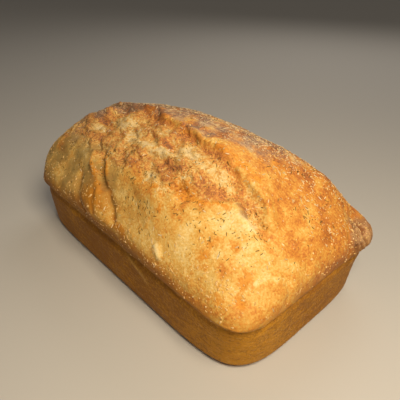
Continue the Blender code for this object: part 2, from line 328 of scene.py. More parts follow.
def wall_heights():
    """Heights of the rings below the shoulder, down to the base, closest at the crease and the foot."""
    line = np.linspace(SHOULDER_HEIGHT, 0.0, 4001)
    load = np.cumsum(1 + 1.6 * hump(line, CREASE_HEIGHT + 0.001, 0.005) + 2.0 * hump(line, 0.0, 0.004))
    return np.interp(np.linspace(load[0], load[-1], RINGS_DOWN + 1), load, line)[1:]


def wall_rings():
    """Points of the rings, from the top one to the base, each in the order of the rim."""
    u, v = grid_lines()
    places = np.array([(u[i], v[j]) for i, j in rim_order()])
    rings = []
    for height in wall_heights():
        shift = float(wall_shift(height))
        corner = BASE_CORNER + (CROWN_CORNER - BASE_CORNER) * height / SHOULDER_HEIGHT
        x, y = round_map(places[:, 0], places[:, 1], LENGTH / 2 + shift, WIDTH / 2 + shift, corner)
        rings.append(np.stack([x, y, np.full(len(x), height)], axis=-1))
    return rings


rings = wall_rings()
print("wall rings:", len(rings), "of", len(rings[0]), "points")

# %% [markdown]
# Points and faces together make a plain closed mesh. Vertex normals come from Blender, and the relief
# moves every point along its normal, so the order matters: form first, coarse relief next, and fine
# relief along the normals of the coarse one.

# %% One closed mesh
def loaf_faces():
    """Faces of the crown, the walls and the base, all turned outwards."""
    columns = CELLS_ACROSS + 1
    i, j = np.meshgrid(np.arange(CELLS_ALONG), np.arange(CELLS_ACROSS), indexing="ij")
    k = (i * columns + j).ravel()
    faces = np.stack([k, k + columns, k + columns + 1, k + 1], axis=-1).tolist()
    upper = np.array([i * columns + j for i, j in rim_order()])
    start = (CELLS_ALONG + 1) * columns
    for ring in range(len(rings)):
        lower = start + ring * len(upper) + np.arange(len(upper))
        faces += np.stack([upper, lower, np.roll(lower, -1), np.roll(upper, -1)], axis=-1).tolist()
        upper = lower
    return faces + [upper[::-1].tolist()]


home = np.concatenate([crown.reshape(-1, 3)] + rings)
mesh = bpy.data.meshes.new("loaf_crust")
mesh.from_pydata(home.tolist(), [], loaf_faces())
mesh.update()


def normals_of(mesh):
    """The mesh's vertex normals, one row for each point."""
    flat = np.empty(len(mesh.vertices) * 3)
    mesh.vertex_normals.foreach_get("vector", flat)
    return flat.reshape(-1, 3)


def places_of(mesh):
    """Where the mesh's points are now, one row for each."""
    flat = np.empty(len(mesh.vertices) * 3)
    mesh.vertices.foreach_get("co", flat)
    return flat.reshape(-1, 3)


def move_to(mesh, points):
    """Puts the mesh's points at new places."""
    mesh.vertices.foreach_set("co", points.ravel())
    mesh.update()


print("faces:", len(mesh.polygons), "points:", len(mesh.vertices))

# %% [markdown]
# ## Coarse relief
# The dough burst along the crest. Behind the tear stands the ear, an edge of crust that the oven lifted;
# in front of it the torn dough baked into a craggy floor. Two folds run down the long side from where the
# dough was rolled up, and a browned roll hangs over the wall below them. At the low end's far corner the
# dough squeezed out under the rim and left a lip. Each is a line or a place on the crust, given once and
# used again later for its colour.

# %% Where the tear runs, and how the rim changes
TEAR_START, TEAR_END = -0.094, 0.100
TEAR_BACK, TEAR_BACK_SLANT = -0.0085, -0.10
TEAR_FRONT = -0.0450
TEAR_NECK, TEAR_NECK_FRONT = (0.048, 0.073), -0.030
TEAR_SINK, EAR_DROP, EAR_RISE, EAR_WIDTH, CRAG_DEPTH = 0.0016, 0.0022, 0.0018, 0.0050, 0.0025
RIM_SOFT_FROM, RIM_SOFT_TO = 0.010, 0.075  # along the loaf, where the rim begins to draw in, and is in
RIM_TUCK, CREASE_FILL = 0.0014, 0.0008
RIM_LIFT, RIM_HIGH = 0.0016, 0.050  # in front, away from the low end, the crown bulges out higher up


def tear_edges(x):
    """The y of the tear's front and back edge at x."""
    front = TEAR_FRONT + (TEAR_NECK_FRONT - TEAR_FRONT) * step(x, *TEAR_NECK)
    back = TEAR_BACK + TEAR_BACK_SLANT * x
    closing = step(x, TEAR_NECK[1], TEAR_END)
    return front, back + (front + 0.002 - back) * closing


print("tear is", round(float(tear_edges(0.0)[1] - tear_edges(0.0)[0]) * 1000, 1), "mm wide at the middle")

# %% Lines on the crust
WALL_RIDGE = (
    (0.008, -0.063, 0.034), (0.017, -0.063, 0.031), (0.028, -0.063, 0.027), (0.040, -0.063, 0.021),
)
LONG_FOLD = (
    (-0.030, -0.051, 0.071), (-0.017, -0.054, 0.067), (-0.010, -0.056, 0.064), (-0.003, -0.058, 0.061),
    (0.002, -0.060, 0.057), (0.006, -0.062, 0.052), (0.010, -0.063, 0.048),
)
LONG_RIDGE = (
    (-0.043, -0.044, 0.077), (-0.034, -0.050, 0.071), (-0.027, -0.053, 0.067), (-0.019, -0.056, 0.064),
    (-0.012, -0.058, 0.061), (-0.007, -0.060, 0.058),
)
SHORT_FOLD = (
    (-0.035, -0.043, 0.078), (-0.025, -0.049, 0.073), (-0.018, -0.052, 0.070), (-0.010, -0.055, 0.066),
)
SHORT_RIDGE = (
    (-0.025, -0.044, 0.078), (-0.017, -0.049, 0.074), (-0.010, -0.053, 0.069), (-0.006, -0.056, 0.065),
)
ROLL_EDGE = (
    (-0.044, -0.055, 0.064), (-0.040, -0.059, 0.058), (-0.033, -0.062, 0.052), (-0.024, -0.064, 0.047),
    (-0.017, -0.065, 0.043),
)
LIP_EDGE = (
    (0.094, 0.046, 0.058), (0.098, 0.039, 0.058), (0.104, 0.033, 0.055), (0.110, 0.026, 0.049),
    (0.112, 0.025, 0.042), (0.112, 0.031, 0.035),
)
STREAK = ((0.072, -0.025, 0.079), (0.080, -0.026, 0.074), (0.086, -0.025, 0.071), (0.096, -0.026, 0.062))
SCRATCH = ((0.086, -0.025, 0.071), (0.095, -0.020, 0.065), (0.105, -0.014, 0.057), (0.111, -0.013, 0.050))
WRINKLE = ((0.098, -0.031, 0.060), (0.106, -0.028, 0.054), (0.110, -0.029, 0.048), (0.113, -0.031, 0.039))
SWIRL = (
    (0.102, -0.057, 0.046), (0.097, -0.051, 0.053), (0.096, -0.045, 0.056), (0.098, -0.040, 0.058),
    (0.103, -0.036, 0.056),
)
ROLL_CURVES = (
    ((-0.018, -0.057, 0.062), (-0.012, -0.061, 0.054), (-0.007, -0.063, 0.048)),
    ((-0.012, -0.056, 0.063), (-0.008, -0.059, 0.058), (-0.004, -0.061, 0.054), (0.001, -0.061, 0.053)),
)
FURROWS = (  # path, width and depth of a furrow
    (LONG_FOLD, 0.0036, 0.0026),
    (SHORT_FOLD, 0.0040, 0.0016),
    (ROLL_EDGE, 0.0036, 0.0022),
    (LIP_EDGE, 0.0026, 0.0018),
    (STREAK, 0.0026, 0.0022),
    (SCRATCH, 0.0018, 0.0010),
    (WRINKLE, 0.0028, 0.0012),
    (SWIRL, 0.0030, 0.0010),
)
FINE_LINES = (  # path, width, and rise of a ridge, or fall of a crack
    (ROLL_CURVES[0], 0.0012, -0.0007),
    (ROLL_CURVES[1], 0.0012, -0.0007),
    (LONG_FOLD, 0.0018, -0.0003),
    (LONG_RIDGE, 0.0017, 0.0015),
    (SHORT_FOLD, 0.0015, -0.0006),
    (SHORT_RIDGE, 0.0014, 0.0012),
)
print("furrows:", len(FURROWS), "fine lines:", len(FINE_LINES))

# %% Swellings and hollows
ROLL_CENTRE = (-0.014, -0.061, 0.054)
LIP_CENTRE, LIP_FOOT = (0.110, 0.042, 0.045), (0.110, 0.050, 0.033)
PLACES = (  # centre, reach, and rise of a swelling, or fall of a hollow
    (ROLL_CENTRE, (0.018, 0.012, 0.011), 0.0044),
    (LIP_CENTRE, (0.010, 0.011, 0.008), -0.0020),
    (LIP_FOOT, (0.010, 0.011, 0.009), 0.0012),
    ((0.094, -0.056, 0.044), (0.014, 0.012, 0.010), 0.0012),  # the low end's front cheek
    ((0.060, 0.034, 0.080), (0.045, 0.020, 0.020), 0.0014),  # the low end's back shoulder
    ((0.083, 0.037, 0.070), (0.018, 0.015, 0.012), 0.0033),
    ((0.104, 0.047, 0.054), (0.008, 0.009, 0.006), -0.0048),  # the dip above the lip
    ((-0.110, -0.058, 0.044), (0.018, 0.018, 0.014), -0.0048),  # the high end's front corner
    ((-0.066, -0.018, 0.088), (0.011, 0.010, 0.010), 0.0044),  # a flap of crust at the tear's high end
    ((-0.083, -0.026, 0.082), (0.012, 0.010, 0.010), 0.0024),
    ((0.106, 0.012, 0.056), (0.006, 0.006, 0.005), -0.0010),
    ((0.016, -0.025, 0.092), (0.006, 0.004, 0.006), -0.0034),  # burst bubbles in the torn floor
    ((-0.059, -0.025, 0.086), (0.006, 0.004, 0.005), -0.0034),
    ((-0.046, -0.033, 0.084), (0.006, 0.004, 0.005), -0.0020),
    ((0.050, -0.021, 0.090), (0.013, 0.006, 0.006), -0.0016),
    ((-0.022, -0.018, 0.094), (0.013, 0.006, 0.006), -0.0016),
)
print("swellings and hollows:", len(PLACES))

# %% The tear's relief
TEAR_WANDER, WANDER_CELL = 0.0045, 0.022
FRONT_LIP_RISE = 0.0011


def edge_wander(points):
    """How far the tear's edges stray from their lines."""
    return field(points, WANDER_CELL, 3, octaves=3) * TEAR_WANDER


def tear_relief(points):
    """The rip in the crust: a sunk and craggy floor, a raised ear behind it and a soft lip in front."""
    x, straight_y, z = points.T
    y = straight_y + edge_wander(points)
    front, back = tear_edges(x)
    ends = step(x, TEAR_START - 0.006, TEAR_START + 0.010) * (1 - step(x, TEAR_END - 0.014, TEAR_END))
    upper = step(z, SHOULDER_HEIGHT, SHOULDER_HEIGHT + 0.012)
    floor = step(y, front - 0.003, front + 0.004) * (1 - step(y, back - 0.005, back + 0.0012))
    floor *= ends * upper
    strands = np.stack([x * 0.55 - straight_y * 0.3, straight_y * 1.2 + x * 0.35, z * 0.6], axis=-1)
    crags = 1 - 2 * np.abs(field(strands, 0.013, 5, octaves=3))
    lumps = field(points, 0.024, 8, octaves=2)
    rise = CRAG_DEPTH * (0.75 * crags + 0.9 * lumps - 0.35)
    ear = EAR_RISE * hump(y, back + 0.0032, EAR_WIDTH) * (0.6 + 0.9 * field(points, 0.022, 12))
    lip = FRONT_LIP_RISE * hump(y, front - 0.003, 0.004)
    share = np.clip((y - front) / np.maximum(back - front, 0.004), 0.0, 1.0)
    sink = TEAR_SINK + EAR_DROP * share**3
    return floor * (rise - sink) + ends * upper * (ear + lip), floor, crags


print("the tear's edges stray up to about", TEAR_WANDER * 1000, "mm")

# %% Coarse relief
LINE_DRIFT = 0.0016


def stirred(points):
    """The points moved about a little, so that a line drawn over them is never quite smooth."""
    drift = [field(points, 0.008, seed, octaves=2) for seed in (91, 92, 93)]
    return points + LINE_DRIFT * np.stack(drift, axis=-1)


def rim_relief(points):
    """The rim draws in softly at the low end, and bulges out higher up along the front."""
    x, y, z = points.T
    soft = step(x, RIM_SOFT_FROM, RIM_SOFT_TO) * (1 - step(y, 0.012, 0.035))
    draw = CREASE_FILL * hump(z, CREASE_HEIGHT, 0.003)
    draw -= RIM_TUCK * hump(z, SHOULDER_HEIGHT + 0.001, 0.006)
    front = step(-y, 0.040, 0.056) * step(x, -0.105, -0.070) * (1 - step(x, 0.020, 0.080))
    lift = RIM_LIFT * (hump(z, RIM_HIGH, 0.006) - hump(z, SHOULDER_HEIGHT, 0.005))
    return soft * draw + front * lift


def coarse_relief(points):
    """How far the crust stands off the smooth form, and the tear's floor and crags, which are reused."""
    height = points[:, 2]
    crown = step(height, CREASE_HEIGHT, SHOULDER_HEIGHT + 0.006)
    wall = 1 - step(height, CREASE_HEIGHT - 0.002, CREASE_HEIGHT + 0.004)
    relief = crown * (field(points, 0.042, 1) * 0.0022 + field(points, 0.017, 2) * 0.0007)
    relief += wall * field(points, 0.035, 4) * 0.0008
    tear, floor, crags = tear_relief(points)
    relief += tear
    relief += rim_relief(points)
    uneven = stirred(points)
    for path, width, depth in FURROWS:
        relief += line_relief(uneven, path, width, -depth)
    for centre, reach, rise in PLACES:
        relief += place_relief(points, centre, reach, rise)
    return relief * step(height, 0.002, 0.012), floor, crags


relief, torn, crags = coarse_relief(home)
move_to(mesh, home + relief[:, None] * normals_of(mesh))
print("coarse relief, in mm:", round(relief.min() * 1000, 1), "to", round(relief.max() * 1000, 1))

# %% [markdown]
# ## Fine relief
# Close up, torn dough is a mass of short ridges and pits, while unbroken crust is smooth with a skin of
# blisters where gas reached the surface. They crowd along the rims and on the back shoulder, and one long
# pale blister stands in a row of lesser ones on the front. The larger ones are wider than a mesh cell, so
# they are domes in the crust itself; the small ones come later.

# %% Where blisters gather
PEBBLE = ((0.0465, -0.060, 0.0555), (0.050, -0.061, 0.053), (0.0535, -0.062, 0.049))  # the long pale one
RIM_ROW = ((0.026, -0.061, 0.054), (0.049, -0.063, 0.048), (0.074, -0.065, 0.040))


def blister_crowding(points):
    """How thickly blisters lie: most at rims, back shoulder and high end, none in the tear or on walls."""
    x, y, z = points.T
    rim = hump(z, SHOULDER_HEIGHT + 0.009, 0.011)
    back = step(y, 0.000, 0.025) * step(z, 0.045, 0.060)
    high_end = step(-x, 0.060, 0.090) * step(z, 0.040, 0.055)
    patchy = 0.35 + 1.4 * np.maximum(0.0, field(points, 0.016, 31, octaves=2))
    row = hump(path_distance(points, RIM_ROW)[0], 0.0, 0.0035)
    row += 0.7 * place_relief(points, ROLL_CENTRE, (0.020, 0.014, 0.014), 1.0)
    crowding = (0.10 + 0.9 * rim + 0.8 * back + 0.6 * high_end) * patchy + 0.9 * row
    return crowding * (1 - torn) * step(z, 0.034, 0.040)


blistering = blister_crowding(home)
print("points where blisters may lie:", int((blistering > 0).sum()))

# %% Large blisters
BLISTER_COUNT = 260
BLISTER_SEED = 21
BLISTER_LEAST, BLISTER_SPREAD = 0.0008, 0.0013  # radius of the smallest, and how much the largest adds
PEBBLE_WIDTH = 0.0017


def blisters(points, weight):
    """Heights from 0 to 1 of low domes at seeded places, a little longer one way than the other."""
    dice = np.random.default_rng(BLISTER_SEED)
    bend = field(points, 0.006, 33)[:, None]
    picks = dice.choice(len(points), BLISTER_COUNT, replace=False, p=weight / weight.sum())
    total = line_relief(points + 0.0012 * bend, PEBBLE, PEBBLE_WIDTH, 1.0)
    for centre in points[picks]:
        size = BLISTER_LEAST + BLISTER_SPREAD * dice.random() ** 3
        turn = dice.uniform(0, math.pi)
        near = np.flatnonzero(np.abs(points - centre).max(axis=1) < 3 * size)
        gap = points[near] - centre
        long_way = gap[:, 0] * math.cos(turn) + (gap[:, 1] + gap[:, 2]) * math.sin(turn)
        reach = np.sum(gap * gap, axis=1) - 0.45 * long_way**2
        total[near] = np.maximum(total[near], np.exp(-reach / size**2) * dice.uniform(0.4, 0.9))
    return total


blister = blisters(home, blistering)
print("points on large blisters:", int((blister > 0.3).sum()))

# %% [markdown]
# The rest of the fine relief is noise at several sizes: ridged in the tear, softly pebbled on the open
# crust, and drawn out into faint streaks on the walls, where the dough slid up the tin. Narrow ridges and
# cracks sharpen the folds, the ear gets a thin ragged edge, and the squeezed lip is ruffled.

# %% Ruffles of the lip
RUFFLE_RISE = 0.0014


def lip_ruffles(points):
    """Ridges from about -1 to 1 that follow the edge of the squeezed lip."""
    gap, along = path_distance(points, LIP_EDGE)
    drawn_out = np.stack([gap, along * 0.014, points[:, 0] * 0.3], axis=-1)
    ridges = 1 - 2.6 * np.abs(field(drawn_out, 0.0046, 49, octaves=2))
    return place_relief(points, LIP_CENTRE, (0.012, 0.014, 0.012), 1.0) * ridges


ruffles = lip_ruffles(home)
print("ruffles from", round(float(ruffles.min()), 2), "to", round(float(ruffles.max()), 2))

# %% Fine relief
FINE_LINE_GAIN = 1.2
RIDGE_RISE, GRIT_RISE = 0.0007, 0.00060  # in the tear
PEBBLING_RISE, CRUST_GRIT_RISE = 0.00026, 0.00016  # on the open crust
STREAK_RISE = 0.00020
EAR_GRIT_RISE, EAR_EDGE_RISE, EAR_EDGE_WIDTH = 0.0005, 0.0012, 0.0015
WALL_RIDGE_WIDTH, WALL_RIDGE_RISE = 0.0012, 0.0009
PEBBLE_CORE, PEBBLE_RISE, BLISTER_RISE = 0.0016, 0.0011, 0.0005


def ear_relief(points, ridges, grit):
    """A gritty band behind the tear's back edge, and a thin ragged edge on it."""
    x, y, z = points.T
    back = tear_edges(x)[1]
    on_ear = step(z, 0.066, 0.080) * step(TEAR_END - x, 0.010, 0.030)
    on_ear *= step(x, TEAR_START, TEAR_START + 0.020)
    rough = EAR_GRIT_RISE * (ridges + grit)
    band = hump(y, back + 0.004, 0.006) * on_ear * (1 - torn) * rough
    line = hump(y + edge_wander(points), back + 0.0012, EAR_EDGE_WIDTH)
    return band + EAR_EDGE_RISE * line * on_ear * step(ridges + grit, -0.9, 0.9)


def fine_relief(points):
    """Ridges and grit in the tear, pebbling on the open crust and streaks on the walls, in metres."""
    x, y, z = points.T
    strands = np.stack([x * 0.7 - y * 0.3, y * 1.2 + x * 0.3, z * 0.8], axis=-1)
    ridges = 1 - 2 * np.abs(field(strands, 0.0070, 41, octaves=2))
    grit = field(points, 0.0024, 43, octaves=2)
    relief = torn * (RIDGE_RISE * ridges + GRIT_RISE * grit)
    crown = step(z, 0.034, 0.044)
    pebbling = PEBBLING_RISE * field(points, 0.0065, 45, octaves=2) + CRUST_GRIT_RISE * grit
    relief += crown * (1 - torn) * pebbling
    streaks = np.stack([x * 0.35, y * 0.35, z * 1.6], axis=-1)
    relief += (1 - crown) * STREAK_RISE * field(streaks, 0.0050, 47, octaves=3)
    uneven = stirred(points)
    for path, width, rise in FINE_LINES:
        relief += line_relief(uneven, path, width, rise * FINE_LINE_GAIN)
    relief += line_relief(points, WALL_RIDGE, WALL_RIDGE_WIDTH, WALL_RIDGE_RISE)
    relief += ear_relief(points, ridges, grit)
    relief += line_relief(points, PEBBLE, PEBBLE_CORE, PEBBLE_RISE)
    relief += RUFFLE_RISE * ruffles + BLISTER_RISE * blister
    return relief * step(z, 0.0005, 0.006), ridges, grit


fine, ridges, grit = fine_relief(home)
move_to(mesh, places_of(mesh) + fine[:, None] * normals_of(mesh))
print("fine relief, in mm:", round(fine.min() * 1000, 2), "to", round(fine.max() * 1000, 2))

# %% [markdown]
# ## Where the colours go
# Crust browns by how much heat and how little steam it got, so one number tells most of the story: the
# bake, from 0 for crumb that stayed cream, through straw, gold, amber and rust, to 1 for umber. It is
# worked out at every point from the form: low in the torn hollows, high on the torn ridges, under the ear
# and on the crest. The same number also carries painted shade, darker along the crown's rim, in the folds,
# round the browned roll and inside burst bubbles, and a painted highlight, paler on blisters. It is stored
# on the mesh as an attribute, which the material turns into colour. What browning alone can't explain gets
# a mask of its own: the dull crust with its painted sheen, amber, painted olive shade, rose, and the tin's
# side, which also reaches up the front as painted shade.

# %% Places that stayed pale
PALE_PLACES = (  # centre, reach
    ((0.026, -0.024, 0.093), (0.009, 0.006, 0.007)),
    ((0.035, -0.023, 0.092), (0.008, 0.005, 0.006)),
    ((0.048, -0.025, 0.089), (0.009, 0.005, 0.007)),
    ((0.060, -0.022, 0.086), (0.010, 0.005, 0.007)),
    ((-0.019, -0.031, 0.089), (0.010, 0.006, 0.007)),
    ((0.000, -0.032, 0.089), (0.009, 0.005, 0.007)),
    ((0.015, -0.031, 0.091), (0.009, 0.005, 0.006)),
    ((0.019, -0.043, 0.080), (0.010, 0.006, 0.007)),
    ((-0.037, -0.022, 0.091), (0.014, 0.009, 0.009)),
    ((-0.058, -0.031, 0.084), (0.008, 0.006, 0.007)),
    ((0.083, -0.028, 0.072), (0.012, 0.006, 0.008)),
    ((0.070, -0.036, 0.076), (0.009, 0.007, 0.007)),
)


def pale_mask(points):
    """Crumb that stayed light in the tear's hollows, with ragged edges."""
    total = np.zeros(len(points))
    for centre, reach in PALE_PLACES:
        total = np.maximum(total, place_relief(points, centre, reach, 1.1))
    strands = points * np.array((0.55, 1.0, 1.0))
    ragged = total + 0.50 * field(strands, 0.0055, 51, octaves=4)
    return step(ragged, 0.25, 1.05)


print("pale places:", len(PALE_PLACES))

# %% Lines and spots that browned more, and lines and spots of painted shade
CREST_LINE = (
    (-0.079, -0.006, 0.087), (-0.045, -0.005, 0.094), (-0.018, -0.007, 0.097), (0.005, -0.012, 0.097),
    (0.025, -0.013, 0.096), (0.041, -0.014, 0.094), (0.058, -0.014, 0.089), (0.073, -0.017, 0.081),
)
HOT_AND_SHADED_LINES = (  # path, width, bake it adds
    (CREST_LINE, 0.0038, 0.40),
    # ragged strands across the torn floor
    (((0.028, -0.022, 0.093), (0.038, -0.017, 0.094), (0.050, -0.017, 0.091), (0.064, -0.019, 0.086)),
     0.0026, 0.26),
    (((0.020, -0.033, 0.088), (0.030, -0.035, 0.086), (0.044, -0.031, 0.087)), 0.0030, 0.28),
    (((0.046, -0.034, 0.085), (0.054, -0.034, 0.083), (0.064, -0.026, 0.083)), 0.0032, 0.26),
    (((0.010, -0.043, 0.080), (0.019, -0.038, 0.083), (0.022, -0.033, 0.087)), 0.0022, 0.30),
    (((-0.080, -0.036, 0.076), (-0.060, -0.038, 0.080), (-0.045, -0.036, 0.083)), 0.0040, 0.22),
    (((-0.070, -0.013, 0.088), (-0.063, -0.014, 0.089), (-0.052, -0.012, 0.092)), 0.0030, 0.20),
    # short strokes on the low end's slope
    (((0.078, -0.013, 0.079), (0.083, -0.015, 0.075)), 0.0018, 0.22),
    (((0.084, -0.011, 0.075), (0.090, -0.010, 0.070)), 0.0016, 0.16),
    (((0.079, -0.042, 0.067), (0.087, -0.042, 0.063)), 0.0018, 0.18),
    (STREAK, 0.0022, 0.26),
    # round the browned roll: first painted shade in the valley beside it and under its overhang, then two
    # brown swirls on it
    (((-0.025, -0.060, 0.056), (-0.027, -0.064, 0.048), (-0.022, -0.065, 0.043), (-0.004, -0.065, 0.043)),
     0.0018, 0.32),
    (ROLL_CURVES[0], 0.0013, 0.40),
    (ROLL_CURVES[1], 0.0013, 0.40),
    # thin cracks: at the tear's high end, on a burst bubble and along the rim
    (((-0.048, -0.038, 0.080), (-0.045, -0.034, 0.084), (-0.045, -0.027, 0.087)), 0.0018, 0.40),
    (((0.007, -0.032, 0.089), (0.011, -0.026, 0.092), (0.016, -0.024, 0.093)), 0.0014, 0.42),
    (((0.004, -0.061, 0.054), (0.011, -0.063, 0.051), (0.018, -0.062, 0.050), (0.024, -0.063, 0.047)),
     0.0018, 0.30),
    # a light line in the swirl at the low end's front corner
    (((0.099, -0.051, 0.052), (0.101, -0.043, 0.054), (0.102, -0.037, 0.055), (0.107, -0.032, 0.053)),
     0.0014, -0.28),
)
HOT_AND_SHADED_SPOTS = (  # centre, reach, bake it adds
    ((0.105, 0.010, 0.057), (0.0040, 0.0034, 0.0040), 0.34),  # two small spots near the low end
    ((0.087, -0.051, 0.057), (0.0036, 0.0030, 0.0036), 0.34),
    ((0.103, -0.052, 0.048), (0.0100, 0.0080, 0.0060), 0.08),  # the low end's front corner
    ((0.107, -0.037, 0.051), (0.0080, 0.0070, 0.0060), 0.16),
    # Painted shadow: the next two spots darken the insides of the burst bubbles.
    ((-0.058, -0.0255, 0.0865), (0.0055, 0.0018, 0.0026), 0.62),  # inside the burst bubbles
    ((0.013, -0.0255, 0.0925), (0.0036, 0.0018, 0.0026), 0.46),
    ((-0.079, -0.049, 0.067), (0.0060, 0.0060, 0.0060), 0.20),  # the high end's front
    ((-0.071, -0.020, 0.087), (0.0110, 0.0080, 0.0070), 0.34),  # the flap
    (ROLL_CENTRE, (0.0190, 0.0120, 0.0120), 0.13),
)
print("hot lines:", len(HOT_AND_SHADED_LINES), "hot spots:", len(HOT_AND_SHADED_SPOTS))

# %% Clear orange strokes and spots
AMBER_LINES = (  # path, width
    (((0.018, -0.047, 0.076), (0.025, -0.047, 0.077), (0.032, -0.045, 0.078), (0.040, -0.043, 0.080)),
     0.0020),
    (((0.032, -0.046, 0.077), (0.036, -0.047, 0.075), (0.040, -0.050, 0.072), (0.040, -0.054, 0.067)),
     0.0018),
    (((0.043, -0.045, 0.077), (0.050, -0.042, 0.078), (0.060, -0.039, 0.078), (0.066, -0.034, 0.078),
      (0.077, -0.030, 0.074)), 0.0018),
    (((0.074, -0.045, 0.067), (0.080, -0.043, 0.066), (0.088, -0.040, 0.064)), 0.0018),
    (((0.012, -0.049, 0.076), (0.018, -0.047, 0.077)), 0.0030),
    (((0.096, -0.040, 0.058), (0.097, -0.048, 0.055), (0.099, -0.052, 0.051), (0.104, -0.056, 0.046)),
     0.0023),
    (((0.073, -0.058, 0.056), (0.075, -0.051, 0.062), (0.075, -0.047, 0.065), (0.078, -0.043, 0.067)),
     0.0026),
    (LONG_RIDGE, 0.0016),
    (SHORT_RIDGE, 0.0014),
    (((0.008, -0.062, 0.052), (0.013, -0.063, 0.050), (0.018, -0.062, 0.050), (0.023, -0.063, 0.048)),
     0.0022),
    (((0.040, 0.003, 0.095), (0.049, 0.007, 0.094), (0.064, 0.003, 0.089), (0.070, 0.002, 0.085)),
     0.0034),
    (((0.037, -0.012, 0.095), (0.050, -0.011, 0.093), (0.063, -0.009, 0.088), (0.074, -0.010, 0.082)),
     0.0028),
    (((0.010, -0.011, 0.097), (0.020, -0.010, 0.097)), 0.0022),
)
AMBER_PLACES = (  # centre, reach
    ((0.046, -0.040, 0.081), (0.012, 0.005, 0.006)),
    ((0.104, 0.010, 0.058), (0.0050, 0.0040, 0.0050)),
    ((0.092, -0.059, 0.046), (0.0060, 0.0050, 0.0040)),
    ((0.074, -0.056, 0.057), (0.0050, 0.0040, 0.0040)),
    ((0.066, 0.010, 0.085), (0.0120, 0.0060, 0.0060)),
    ((0.104, 0.030, 0.055), (0.0050, 0.0060, 0.0050)),
    (ROLL_CENTRE, (0.0170, 0.0110, 0.0100)),
)
print("orange strokes:", len(AMBER_LINES), "orange spots:", len(AMBER_PLACES))

# %% [markdown]
# The bake is a sum, as relief was. Noise roughens the distance to every line, so that no line keeps an
# even width, and the torn floor follows its own ridges: what stands up browns first.

# %% Where the dull crest begins, and veins of browning
def crest_front(x):
    """The y where the tear's gold gives way to the dull crest: it swings forward at the high end."""
    return tear_edges(x)[1] - 0.002 - 0.013 * step(-x, 0.026, 0.062) + 0.015 * step(x, 0.030, 0.056)


def marbling(points):
    """Thin wandering veins, from about -1 between them to 1 on them."""
    bend = np.stack([field(points, 0.020, seed) for seed in (73, 74, 75)], axis=-1)
    return 1 - 2.4 * np.abs(field(points + 0.010 * bend, 0.016, 76, octaves=3))


print("the dull crest begins at y =", [round(float(crest_front(x)), 3) for x in (-0.06, 0.0, 0.06)])

# %% Areas that browned more, and painted shade along the rim
def browned_and_shaded_areas(points):
    """Areas that browned more, and painted shade along the rim: a mask of each, the bake it adds,
    and how much noise changes that.
    """
    x, y, z = points.T
    front, back = tear_edges(x)
    on_crown = step(z, 0.045, 0.060)
    low_slope = step(y, -0.022, 0.020) * step(x, 0.040, 0.085)
    low_tip = step(x, 0.085, 0.105) * step(y, -0.035, -0.010)
    low_back = on_crown * step(y, 0.008, 0.024) * step(x, 0.030, 0.050) * (1 - step(x, 0.085, 0.100))
    # Painted shade: the crown darkens towards the crease, where it curves down away from the light, on top
    # of some browning.
    rim = (1 - step(z, 0.037, 0.055)) * (1 - 0.45 * step(x, 0.075, 0.100))
    before_tear = on_crown * hump(y, front + 0.001, 0.008)
    before_tear *= step(x, -0.050, -0.020) * (1 - step(x, 0.060, 0.075))
    behind_ear = on_crown * hump(y, back + 0.010, 0.008) * step(x, -0.005, 0.035)
    crest = step(y, crest_front(x), crest_front(x) + 0.006) * step(z, 0.066, 0.088)
    crest *= 1 - 0.8 * step(x, 0.030, 0.090)
    return (
        (low_slope, 0.23, 0.12),
        (low_tip, 0.10, 0.0),
        (low_back, 0.13, 0.12),
        (rim, 0.32, 0.14),
        (before_tear, 0.12, 0.16),
        (behind_ear, 0.14, 0.12),
        (crest, 0.28, 0.26),
    )


print("areas that browned more:", len(browned_and_shaded_areas(home[:1])))

# %% The bake
BASE_HEAT = 0.34
HOT_AND_SHADED_LINE_GAIN = 0.80
# Painted shade: the folds and the roll's edge are darkened along their furrows.
FOLD_SHADE, FOLD_WIDTH = 0.11, 0.0018
HOT_LIMIT, HOT_SQUEEZE = 0.68, 0.6  # above the limit the bake rises at this share of its pace
# Blisters are paler skin, and are painted paler still as a highlight.
PALE_DROP, BLISTER_PALING_AND_HIGHLIGHT, PEBBLE_DROP = 0.34, 0.10, 0.24


